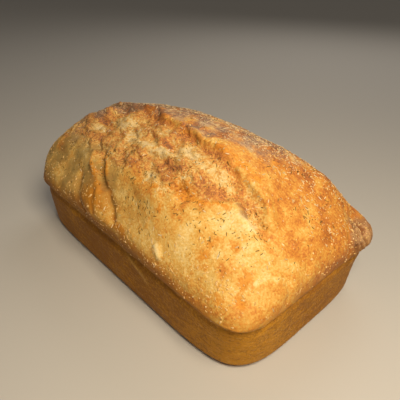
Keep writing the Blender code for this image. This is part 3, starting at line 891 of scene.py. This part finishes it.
def bake(points, pale):
    """How far each point has baked, from 0, cream, to 1, umber, with painted shade and a painted highlight
    added in.
    """
    x, y, z = points.T
    ragged = field(np.stack([x * 0.42 + y * 0.25, y, z], axis=-1), 0.0065, 53, octaves=4)
    heat_and_shade = BASE_HEAT + 0.06 * field(points, 0.045, 55, octaves=2) + 0.05 * ragged
    heat_and_shade += step(z, 0.045, 0.060) * 0.11 * (marbling(points) - 0.2) * (1 - 0.5 * torn)
    heat_and_shade += torn * (0.09 + 0.06 * ridges + 0.04 * crags + 0.11 * grit + 0.10 * ragged)
    for area, extra, unevenness in browned_and_shaded_areas(points):
        heat_and_shade += area * (extra + unevenness * ragged)
    for path, width, extra in HOT_AND_SHADED_LINES:
        gap, along = path_distance(points, path)
        line = hump(gap * (1 - 0.5 * ragged), 0.0, width) * end_fade(along, 0.10, 0.88)
        heat_and_shade += HOT_AND_SHADED_LINE_GAIN * extra * line * (0.9 + 0.4 * ragged)
    for centre, reach, extra in HOT_AND_SHADED_SPOTS:
        heat_and_shade += place_relief(points, centre, reach, extra) * (1 + 0.8 * ragged)
    # Painted shade in the furrows of the folds and along the roll's edge.
    for path in (LONG_FOLD, SHORT_FOLD, ROLL_EDGE):
        gap, along = path_distance(points, path)
        heat_and_shade += FOLD_SHADE * hump(gap, 0.0, FOLD_WIDTH) * (1 - step(along, 0.85, 1.0))
    heat_and_shade -= line_relief(points, PEBBLE, 0.0018, PEBBLE_DROP)
    heat_and_shade = np.where(heat_and_shade > HOT_LIMIT, HOT_LIMIT + HOT_SQUEEZE * (heat_and_shade - HOT_LIMIT), heat_and_shade)
    return heat_and_shade - PALE_DROP * pale - BLISTER_PALING_AND_HIGHLIGHT * blister


pale = pale_mask(home) * np.maximum(torn, step(home[:, 0], 0.070, 0.085))
heat_and_shade = bake(home, pale)
print("bake from", round(float(heat_and_shade.min()), 2), "to", round(float(heat_and_shade.max()), 2))

# %% [markdown]
# The other masks say where a tone that lies outside browning shows. They are made of the same helpers: a
# place or a line, roughened by noise.

# %% Masks of the other tones
def amber_mask(points):
    """Clear orange strokes: below the tear, along the folds' ridges and behind the ear."""
    x, y, z = points.T
    ragged = field(np.stack([x * 0.5, y, z], axis=-1), 0.006, 71, octaves=4)
    total = np.zeros(len(points))
    for path, width in AMBER_LINES:
        gap, along = path_distance(points, path)
        total = np.maximum(total, hump(gap * (1 - 0.6 * ragged), 0.0, width) * end_fade(along))
    for centre, reach in AMBER_PLACES:
        total = np.maximum(total, place_relief(points, centre, reach, 0.9))
    return total * (0.80 + 0.7 * ragged)


def dull_crust_and_sheen_mask(points):
    """Where the browned crust is dark and greyed by painted sheen: the crest's back, and the high end's
    tip.
    """
    x, y, z = points.T
    crest = step(y, crest_front(x) - 0.002, crest_front(x) + 0.005) * step(z, 0.052, 0.070)
    crest *= 1 - 0.82 * step(x, 0.046, 0.084)
    tip = step(-x, 0.045, 0.085) * step(z, 0.060, 0.078)
    flap = place_relief(points, (-0.070, -0.021, 0.087), (0.011, 0.009, 0.008), 1.3)
    total = np.maximum(np.maximum(crest, 0.8 * tip), flap)
    total *= 0.80 + 0.60 * field(points, 0.010, 57, octaves=4)
    return total - place_relief(points, (-0.033, -0.004, 0.096), (0.0060, 0.0022, 0.0040), 1.2)


def wall_and_front_shade_mask(points):
    """The tin's side, carried up the front's lower crown as painted shade, and the browned roll above it.
    """
    x, y, z = points.T
    edge = CREASE_HEIGHT + 0.0035 + 0.0012 * field(points, 0.010, 59)
    # Painted shade: along the front, away from the low end, the wall's dark tone reaches up the lower
    # crown.
    edge += 0.009 * step(-y, 0.040, 0.060) * (1 - step(x, 0.020, 0.080))
    roll = place_relief(points, ROLL_CENTRE, (0.018, 0.014, 0.009), 0.60)
    return np.maximum(1 - step(z, edge - 0.008, edge + 0.010), roll)


def olive_shade_mask(points):
    """Painted shade, tinted olive: the high end's front, and between the folds."""
    x, y, z = points.T
    front = step(-x, -0.015, 0.050) * step(-y, 0.030, 0.050)
    front *= step(z, 0.040, 0.052) * (1 - step(z, 0.078, 0.086))
    total = 0.95 * front + place_relief(points, (-0.003, -0.056, 0.064), (0.016, 0.010, 0.014), 0.8)
    return total * (0.75 + 0.7 * field(points, 0.010, 67, octaves=3))


def rose_mask(points):
    """Dough that stayed moist and set pinkish: the squeezed lip, and a patch where the tear ends."""
    lip = place_relief(points, LIP_CENTRE, (0.012, 0.013, 0.012), 1.5)
    lip += place_relief(points, LIP_FOOT, (0.010, 0.012, 0.010), 1.2)
    patch = place_relief(points, (0.077, -0.027, 0.077), (0.006, 0.004, 0.006), 0.7)
    return step(np.maximum(lip, patch) + 0.3 * field(points, 0.005, 63, octaves=2), 0.25, 0.75)


def low_end_light_and_scuff_mask(points):
    """The low end's wall, which the tin scuffed more, and which is painted lighter where the lamp falls on
    it.
    """
    x, y = points.T[:2]
    return step(x, 0.050, 0.095) * (1 - 0.75 * step(y, -0.050, -0.015))


print("points on the tin's side:", int((wall_and_front_shade_mask(home) > 0.5).sum()))

# %% Where herbs and flakes lie
HERB_PLACES = (  # small clusters
    (0.008, -0.047, 0.076), (0.037, -0.044, 0.078), (0.023, -0.055, 0.066), (-0.001, -0.046, 0.077),
    (0.049, -0.048, 0.072), (0.028, -0.053, 0.068), (0.058, -0.041, 0.076), (0.071, -0.038, 0.074),
    (0.073, -0.049, 0.064), (0.085, -0.048, 0.061), (0.084, -0.024, 0.072), (0.010, -0.055, 0.065),
)


def on_shoulder(points):
    """The back shoulder behind the ear, fading towards the low end."""
    x, y, z = points.T
    start = crest_front(x) + 0.006
    return step(y, start, start + 0.010) * step(z, 0.050, 0.075) * (1 - 0.6 * step(x, 0.060, 0.095))


def herb_crowding(points):
    """Where dried herbs lie: on the back shoulder, in drifts before the tear, few elsewhere."""
    x, y, z = points.T
    drifts = np.maximum(0.06, 0.18 + 1.6 * field(points, 0.010, 61, octaves=2))
    before = hump(y, tear_edges(x)[0] - 0.004, 0.010) * step(z, 0.055, 0.070)
    crown = step(z, 0.045, 0.060)
    total = (0.12 * crown + 0.50 * before + 0.60 * on_shoulder(points) + 0.22 * torn) * drifts
    for centre in HERB_PLACES:
        total += place_relief(points, centre, (0.0034, 0.0028, 0.0028), 0.55)
    return total


def flake_crowding(points):
    """Pale flakes of bran and salt: most on the back shoulder, and a line of them along the ear."""
    x, y, z = points.T
    patchy = 0.35 + 1.2 * np.maximum(0.0, field(points, 0.012, 65, octaves=2))
    ear = hump(y, tear_edges(x)[1] + 0.004, 0.004) * step(z, 0.070, 0.085)
    return (0.80 * on_shoulder(points) + 0.30 * ear + 0.12 * torn + 0.06 * step(z, 0.040, 0.050)) * patchy


print("clusters of herbs:", len(HERB_PLACES))

# %% Masks stored on the mesh
SEAM_WIDTH = 0.0013


def paint(name, values):
    """Stores a mask on the mesh as a float attribute of its points."""
    layer = mesh.attributes.new(name, "FLOAT", "POINT")
    layer.data.foreach_set("value", np.clip(values, 0.0, 1.0).astype(np.float32))


paint("bake", heat_and_shade)
# Dark crust greyed by painted sheen.
paint("ash", dull_crust_and_sheen_mask(home))
paint("amber", amber_mask(home))
paint("torn", torn)
paint("wall", wall_and_front_shade_mask(home))
# The low end's wall: painted light, and more scuffs.
paint("low_end", low_end_light_and_scuff_mask(home))
paint("seam", line_relief(home, WALL_RIDGE, SEAM_WIDTH, 1.0))
paint("rose", rose_mask(home))
# The ruffles' height, used for painted light and shade on the lip.
paint("ruffle", 0.5 + 0.5 * ruffles)
# Painted shade, tinted olive.
paint("olive", olive_shade_mask(home))
paint("blistering", blistering)
paint("herb", herb_crowding(home))
paint("flake", flake_crowding(home))
print("masks:", [a.name for a in mesh.attributes if a.data_type == "FLOAT"])

# %% [markdown]
# ## A material written as sums
# A material is a graph, but sums read better than boxes and wires. This small class wraps a socket so
# that `mask * 0.5 + 0.2` adds the Math nodes by itself, also with the number first. One method adds any
# other node: its settings first, then its sockets. Colours can't take part in sums, because a Math node
# would turn them grey, so they are blended by a method of their own.

# %% Sockets that can be added and multiplied
class Socket:
    """A node's output that takes part in Python sums."""

    def __init__(self, graph, link):
        self.graph, self.link = graph, link

    def maths(self, operation, first, second):
        """One Math node."""
        return self.graph.node("ShaderNodeMath", {"operation": operation}, {0: first, 1: second})

    def __add__(self, other):
        return self.maths("ADD", self, other)

    def __sub__(self, other):
        return self.maths("SUBTRACT", self, other)

    def __rsub__(self, other):
        return self.maths("SUBTRACT", other, self)

    def __mul__(self, other):
        return self.maths("MULTIPLY", self, other)

    __radd__ = __add__
    __rmul__ = __mul__

    def window(self, low, high):
        """0 below low, 1 above high, smooth between."""
        settings = {"interpolation_type": "SMOOTHSTEP"}
        inputs = {"Value": self, "From Min": low, "From Max": high}
        return self.graph.node("ShaderNodeMapRange", settings, inputs)


print("a socket can:", [name.strip("_") for name in vars(Socket) if callable(getattr(Socket, name))])

# %% One method that adds any node
class Graph:
    """Adds nodes to a node tree."""

    def __init__(self, tree):
        self.tree = tree

    def node(self, kind, settings=None, inputs=None, output=0):
        """Adds a node, makes its settings, then fills its sockets with values or links."""
        made = self.tree.nodes.new(kind)
        for name, value in (settings or {}).items():
            if name == "stops":
                self.set_stops(made.color_ramp, value)
            else:
                setattr(made, name, value)
        for name, value in (inputs or {}).items():
            if isinstance(value, Socket):
                self.tree.links.new(value.link, made.inputs[name])
            else:
                made.inputs[name].default_value = value
        return None if output is None else Socket(self, made.outputs[output])

    def set_stops(self, ramp, stops):
        """Gives a colour ramp its stops, as pairs of place and colour."""
        ramp.elements.remove(ramp.elements[1])
        ramp.elements[0].position, ramp.elements[0].color = stops[0]
        for where, colour in stops[1:]:
            ramp.elements.new(where).color = colour

    def mix(self, amount, first, second):
        """Blends two colours, or lets one through where amount is 0 and the other where it is 1."""
        return self.node("ShaderNodeMix", {"data_type": "RGBA"}, {0: amount, 6: first, 7: second}, 2)

    def mask(self, name):
        """A mask that is stored on the mesh."""
        return self.node("ShaderNodeAttribute", {"attribute_name": name}, {}, "Fac")

    def speckle(self, place, cell, detail=3.0, roughness=0.55, twist=0.0):
        """Noise from 0 to 1 whose lumps are as large as cell, in metres. A twist draws them into swirls."""
        inputs = {"Vector": place, "Scale": 1 / cell, "Detail": detail}
        inputs.update({"Roughness": roughness, "Distortion": twist})
        return self.node("ShaderNodeTexNoise", {}, inputs)

    def here(self):
        """The point's own place on the piece, in metres."""
        return self.node("ShaderNodeTexCoord", {}, {}, "Object")

    def send(self, value, shader, socket):
        """Links a sum to a socket of the shader."""
        self.tree.links.new(value.link, shader.inputs[socket])


def new_material(name):
    """A material with nodes, the graph that adds to them, and its shader."""
    material = bpy.data.materials.new(name)
    material.use_nodes = True
    return material, Graph(material.node_tree), material.node_tree.nodes["Principled BSDF"]


print("a graph can:", [name for name in vars(Graph) if not name.startswith("_")])

# %% [markdown]
# ## The crust
# A colour ramp holds the colours of baking in the order of heat. The material reads the bake, painted shade
# included, from the mesh, shakes it with noise at three sizes, so that no edge is smooth, and looks the
# colour up. Other tones lie outside the ramp, each between a dark and a light one: the crest's dull dark
# crust, greyed by painted sheen, painted olive shade on the high end's front, clear amber strokes that
# deepen to rust where the bake is high, the rose of the lip with painted light and shade on its ruffles,
# and the tan of the walls, which the tin shielded, painted lighter at the low end where the lamp falls and
# carried up the front as painted shade. A dry crust scatters light broadly, so it is rough, with only a
# slight shine on the smooth parts.

# %% Tones of the crust
BAKE_STOPS = (
    (0.00, (0.80, 0.60, 0.30, 1)),
    (0.16, (0.76, 0.53, 0.205, 1)),
    (0.34, (0.69, 0.410, 0.105, 1)),
    (0.48, (0.64, 0.310, 0.058, 1)),
    (0.62, (0.58, 0.220, 0.036, 1)),
    (0.80, (0.42, 0.135, 0.030, 1)),
    (1.00, (0.200, 0.080, 0.028, 1)),
)
# Dark browned crust, greyed by painted sheen.
SHEENED_BROWN, SHEENED_LIGHT = (0.215, 0.134, 0.086, 1), (0.49, 0.338, 0.222, 1)
WALL_TAN, WALL_BROWN = (0.49, 0.212, 0.012, 1), (0.25, 0.092, 0.004, 1)
WALL_LIGHT = (0.72, 0.41, 0.09, 1)
# Painted shade: olive tones that darken the high end's front and the dip between the folds.
OLIVE_SHADE, OLIVE_SHADE_LIGHT = (0.18, 0.108, 0.030, 1), (0.40, 0.262, 0.086, 1)
AMBER, AMBER_DEEP, RUST = (0.70, 0.285, 0.030, 1), (0.52, 0.160, 0.015, 1), (0.27, 0.085, 0.014, 1)
# The lip's rose runs from a tan, darkened as painted shade in the ruffles' hollows, to a light tone,
# lightened as painted light on their crests.
ROSE_TAN_AND_SHADE, ROSE_LIGHT_AND_LIT, TORN_ROSE = (0.20, 0.078, 0.028, 1), (0.64, 0.38, 0.18, 1), (0.54, 0.290, 0.160, 1)
print("stops from cream to umber:", len(BAKE_STOPS))

# %% Colour of the crown
MOTTLE_CELL, FLECK_CELL, GRAIN_CELL = 0.0085, 0.0026, 0.0011


def crown_colour(graph, mottle, fleck, grain, shake):
    """The ramp's colour for the bake and its painted shade, with the tones outside the ramp laid over it.
    """
    torn = graph.mask("torn")
    heat_and_shade = graph.mask("bake") + shake
    colour = graph.node("ShaderNodeValToRGB", {"stops": BAKE_STOPS}, {0: heat_and_shade})
    colour = graph.mix(torn * 0.16, colour, TORN_ROSE)

    gritty = (fleck * 0.4 + grain * 0.6).window(0.34, 0.66)
    # Painted shade, tinted olive, over the high end's front and between the folds.
    olive = graph.mix(gritty, OLIVE_SHADE, OLIVE_SHADE_LIGHT)
    colour = graph.mix((graph.mask("olive") + shake).window(0.10, 0.90) * 0.72, colour, olive)
    amber = graph.mix(gritty * 0.7 + (mottle - 0.5) * 0.8, AMBER, AMBER_DEEP)
    amber = graph.mix(heat_and_shade.window(0.62, 1.00) * 0.85, amber, RUST)
    colour = graph.mix((graph.mask("amber") + shake * 0.9).window(0.16, 0.84) * 0.84, colour, amber)
    # Painted sheen: the dull crust on the crest's back and the high end's tip is greyed.
    sheened_crust = graph.mix((heat_and_shade + (grain - 0.5) * 0.6).window(0.30, 0.90), SHEENED_LIGHT, SHEENED_BROWN)
    colour = graph.mix((graph.mask("ash") + shake * 0.9).window(0.25, 1.10) * 0.85, colour, sheened_crust)
    # Painted light and shade on the lip: the ruffles' crests lighter and their hollows darker, over the
    # rose's own mottling.
    rose_tone_and_ruffle_light = fleck * 0.5 + grain * 0.5 + graph.mask("ruffle") * 0.8 - 0.55
    pink = graph.mix(rose_tone_and_ruffle_light.window(0.20, 0.85), ROSE_TAN_AND_SHADE, ROSE_LIGHT_AND_LIT)
    return graph.mix(graph.mask("rose") * 0.85, colour, pink)


print("the crust's noise, in mm:", MOTTLE_CELL * 1000, FLECK_CELL * 1000, GRAIN_CELL * 1000)

# %% Colour of the walls
def wall_colour(graph, place, level, streaks, grain, shake):
    """Tan in level streaks, painted lighter at the low end, with pale scuffs and scratches where the loaf
    slid out of the tin.
    """
    low_end = graph.mask("low_end")
    # Painted light: the low end's wall leans to the lighter tan, where the lamp falls on it.
    warmth = graph.speckle(place, 0.040, 2.0) * 0.5 + streaks * 0.50 + shake + low_end * 0.16 - 0.075
    tan = graph.mix(warmth.window(0.34, 0.70), WALL_BROWN, WALL_TAN)
    scuffs = graph.speckle(level, 0.0010, 3.0, 0.7).window(0.56, 0.74)
    tan = graph.mix(scuffs * (low_end * 0.45 + 0.20), tan, WALL_LIGHT)
    scratches = graph.speckle(place, 0.0024, 3.0, 0.7, 2.5).window(0.57, 0.70)
    tan = graph.mix(scratches * (low_end * 0.45 + 0.05), tan, WALL_LIGHT)
    return graph.mix(graph.mask("seam") * (grain * 2.0), tan, WALL_LIGHT)


print("the walls' light tone:", WALL_LIGHT[:3])

# %% Crust material
LEVEL_STRETCH = (0.22, 0.22, 1.0)  # draws noise out along the walls
BUMP_STRENGTH, BUMP_DISTANCE = 0.7, 0.0011
CRUST_CONSTANTS = {
    "Specular IOR Level": 0.15,
    "Subsurface Weight": 0.04,
    "Subsurface Radius": (0.003, 0.0015, 0.0007),
    "Subsurface Scale": 1.0,
}


def crust_material():
    """The whole crust: crown and walls in one material, so that one runs into the other."""
    material, graph, shader = new_material("crust")
    place = graph.here()
    mottle = graph.speckle(place, MOTTLE_CELL, 3.0, 0.6, 1.6)
    fleck = graph.speckle(place, FLECK_CELL, 2.0, 0.6, 1.2)
    grain = graph.speckle(place, GRAIN_CELL, 2.0, 0.6)
    torn, wall = graph.mask("torn"), graph.mask("wall")
    shake = (mottle - 0.5) * 0.30 + (fleck - 0.5) * (0.46 + torn * 0.46)
    shake = shake + (grain - 0.5) * (0.70 + torn * 0.66)
    level = graph.node("ShaderNodeMapping", {}, {"Vector": place, "Scale": LEVEL_STRETCH})
    streaks = graph.speckle(level, 0.0022, 3.0, 0.6)

    crown = crown_colour(graph, mottle, fleck, grain, shake)
    tan = wall_colour(graph, place, level, streaks, grain, shake)
    # The wall's tone, which also lies on the front's lower crown as painted shade.
    graph.send(graph.mix(wall * 0.94, crown, tan), shader, "Base Color")
    graph.send(0.55 + torn * 0.20 + (mottle - 0.5) * 0.2, shader, "Roughness")
    height = mottle * 0.30 + fleck * (0.38 + torn * 0.80) + grain * (0.44 + torn * 0.70)
    height = height + streaks * (wall * 0.6)
    bump = {"Strength": BUMP_STRENGTH, "Distance": BUMP_DISTANCE, "Height": height}
    graph.send(graph.node("ShaderNodeBump", {}, bump), shader, "Normal")
    for socket, value in CRUST_CONSTANTS.items():
        shader.inputs[socket].default_value = value
    return material


crust = crust_material()
mesh.materials.append(crust)
mesh.shade_smooth()
loaf = bpy.data.objects.new("loaf_crust", mesh)
bpy.context.scene.collection.objects.link(loaf)
print("crust nodes:", len(crust.node_tree.nodes))

# %% [markdown]
# ## Dried herbs, pale flakes and small blisters
# The herbs were rubbed over the dough before baking: narrow, curled scraps of leaf a millimetre or two
# long, thick on the back shoulder and in drifts before the tear. Pale flakes of bran and salt lie between
# them, most on the shoulder. The small blisters are low, long domes of drier, paler skin, brightened
# further as a painted highlight. All three are many tiny things that follow one rule, which is what
# Geometry Nodes are for: spread points over the crust by a mask, set a scrap on each, turned about the
# surface's normal, and make the result one plain mesh. One rule serves all three, with different sizes.

# %% Materials of the small things
def scrap_material(name, dark, light, roughness, gloss):
    """A tone between two, drawn for each scrap."""
    material, graph, shader = new_material(name)
    fleck = graph.speckle(graph.here(), 0.0006, 1.0)
    tone = graph.mask("tone") * 0.8 + fleck * 0.4 - 0.1
    graph.send(graph.mix(tone, dark, light), shader, "Base Color")
    graph.send(roughness + (fleck - 0.5) * 0.3, shader, "Roughness")
    shader.inputs["Specular IOR Level"].default_value = gloss
    return material


herb = scrap_material("dried_herb", (0.070, 0.042, 0.014, 1), (0.230, 0.145, 0.040, 1), 0.70, 0.05)
bran = scrap_material("pale_bran", (0.420, 0.270, 0.110, 1), (0.800, 0.630, 0.370, 1), 0.50, 0.35)
# The blisters' light tone is their paler skin, brightened as a painted highlight.
skin_and_highlight = scrap_material("blister_skin_and_highlight", (0.560, 0.290, 0.065, 1), (0.780, 0.520, 0.210, 1), 0.35, 0.45)
print("materials:", herb.name, bran.name, skin_and_highlight.name)

# %% The rule that scatters them
SCRAP_SIZES = ("Per square metre", "Length", "Width", "Thickness", "Curl", "Spread")
TURN_SEED, REACH_SEED, GIRTH_SEED, TONE_SEED = 3, 5, 6, 11


class ScatterGraph(Graph):
    """A geometry tree whose inputs are the crust, the scraps' sizes and a seed."""

    def __init__(self, name):
        super().__init__(bpy.data.node_groups.new(name, "GeometryNodeTree"))
        face = self.tree.interface
        face.new_socket("Crust", in_out="INPUT", socket_type="NodeSocketGeometry")
        for label in SCRAP_SIZES:
            face.new_socket(label, in_out="INPUT", socket_type="NodeSocketFloat")
        face.new_socket("Seed", in_out="INPUT", socket_type="NodeSocketInt")
        face.new_socket("Scraps", in_out="OUTPUT", socket_type="NodeSocketGeometry")
        self.given = self.tree.nodes.new("NodeGroupInput")

    def size(self, label):
        """One of the tree's own inputs."""
        return Socket(self, self.given.outputs[label])

    def chance(self, low, high, seed):
        """A number drawn for each scrap."""
        inputs = {2: low, 3: high, "Seed": seed}
        return self.node("FunctionNodeRandomValue", {"data_type": "FLOAT"}, inputs, 1)

    def triple(self, **parts):
        """A vector from up to three numbers."""
        return self.node("ShaderNodeCombineXYZ", {}, parts)

    def bent_scrap(self):
        """One lozenge, curled up or down at its two ends and scaled to the real size."""
        ball = self.node("GeometryNodeMeshIcoSphere", {}, {"Radius": 0.5, "Subdivisions": 1})
        where = self.node("GeometryNodeInputPosition")
        across = self.node("ShaderNodeSeparateXYZ", {}, {"Vector": where}, "X")
        bend = self.triple(Z=across * across * self.size("Curl") * 4.0)
        bent = self.node("GeometryNodeSetPosition", {}, {"Geometry": ball, "Offset": bend})
        scale = self.triple(X=self.size("Length"), Y=self.size("Width"), Z=self.size("Thickness"))
        return self.node("GeometryNodeTransform", {}, {"Geometry": bent, "Scale": scale})


print("sizes that the rule takes:", SCRAP_SIZES)

# %% The tree
def scatter_tree(name, mask, finish):
    """Crust in, one bent lozenge on each seeded point out."""
    graph = ScatterGraph(name)
    number = {"data_type": "FLOAT"}
    crowding = graph.node("GeometryNodeInputNamedAttribute", number, {"Name": mask})
    density = crowding * graph.size("Per square metre")
    thrown = {"Mesh": graph.size("Crust"), "Density": density, "Seed": graph.size("Seed")}
    spots = graph.node("GeometryNodeDistributePointsOnFaces", {}, thrown)

    upright = Socket(graph, spots.link.node.outputs["Rotation"])
    turn = {"Axis": (0, 0, 1), "Angle": graph.chance(0.0, math.tau, TURN_SEED)}
    turned = {"Rotation": upright, "Rotate By": graph.node("FunctionNodeAxisAngleToRotation", {}, turn)}
    facing = graph.node("FunctionNodeRotateRotation", {"rotation_space": "LOCAL"}, turned)
    luck = graph.chance(0.0, 1.0, REACH_SEED)
    reach = luck * luck * luck * graph.size("Spread") + 0.5
    girth = graph.chance(0.6, 1.0, GIRTH_SEED) * (reach * 0.25 + 0.8)

    scraps = {"Points": spots, "Instance": graph.bent_scrap(), "Rotation": facing}
    scraps["Scale"] = graph.triple(X=reach, Y=girth, Z=girth)
    placed = graph.node("GeometryNodeInstanceOnPoints", {}, scraps)
    tones = {"Geometry": placed, "Name": "tone", "Value": graph.chance(0.0, 1.0, TONE_SEED)}
    toned = graph.node("GeometryNodeStoreNamedAttribute", {**number, "domain": "INSTANCE"}, tones)
    real = graph.node("GeometryNodeRealizeInstances", {}, {"Geometry": toned})
    finished = graph.node("GeometryNodeSetMaterial", {}, {"Geometry": real, "Material": finish})
    graph.node("NodeGroupOutput", {}, {"Scraps": finished}, None)
    return graph.tree


print("seeds of a scrap's turn, length, girth and tone:", TURN_SEED, REACH_SEED, GIRTH_SEED, TONE_SEED)

# %% Three kinds of scraps
SCATTERED = (  # name, mask, material, seed, then the sizes in the order of SCRAP_SIZES
    ("dried_herbs", "herb", herb, 7, (400000.0, 0.0014, 0.00050, 0.00034, 0.35, 1.7)),
    ("pale_flakes", "flake", bran, 8, (400000.0, 0.0017, 0.00070, 0.00044, 0.30, 1.6)),
    ("small_blisters", "blistering", skin_and_highlight, 9, (130000.0, 0.00145, 0.00112, 0.00082, -0.15, 1.4)),
)


def scatter(name, mask, finish, seed, sizes):
    """Runs the rule on the crust and keeps the result as a plain mesh."""
    carrier = bpy.data.objects.new(name, loaf.data)
    bpy.context.scene.collection.objects.link(carrier)
    modifier = carrier.modifiers.new("scatter", "NODES")
    modifier.node_group = scatter_tree(name, mask, finish)
    sockets = {item.name: item.identifier for item in modifier.node_group.interface.items_tree}
    for label, value in zip(SCRAP_SIZES, sizes):
        modifier[sockets[label]] = value
    modifier[sockets["Seed"]] = seed
    bpy.context.view_layer.update()
    evaluated = carrier.evaluated_get(bpy.context.evaluated_depsgraph_get())
    carrier.data = bpy.data.meshes.new_from_object(evaluated)
    carrier.modifiers.clear()
    print(name, "triangles:", len(carrier.data.polygons))
    return carrier


scattered = [scatter(*kind) for kind in SCATTERED]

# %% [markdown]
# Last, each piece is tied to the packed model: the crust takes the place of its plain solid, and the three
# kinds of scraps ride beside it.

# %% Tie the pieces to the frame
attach(loaf, "root")
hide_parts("loaf")
for scraps in scattered:
    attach(scraps, "root")
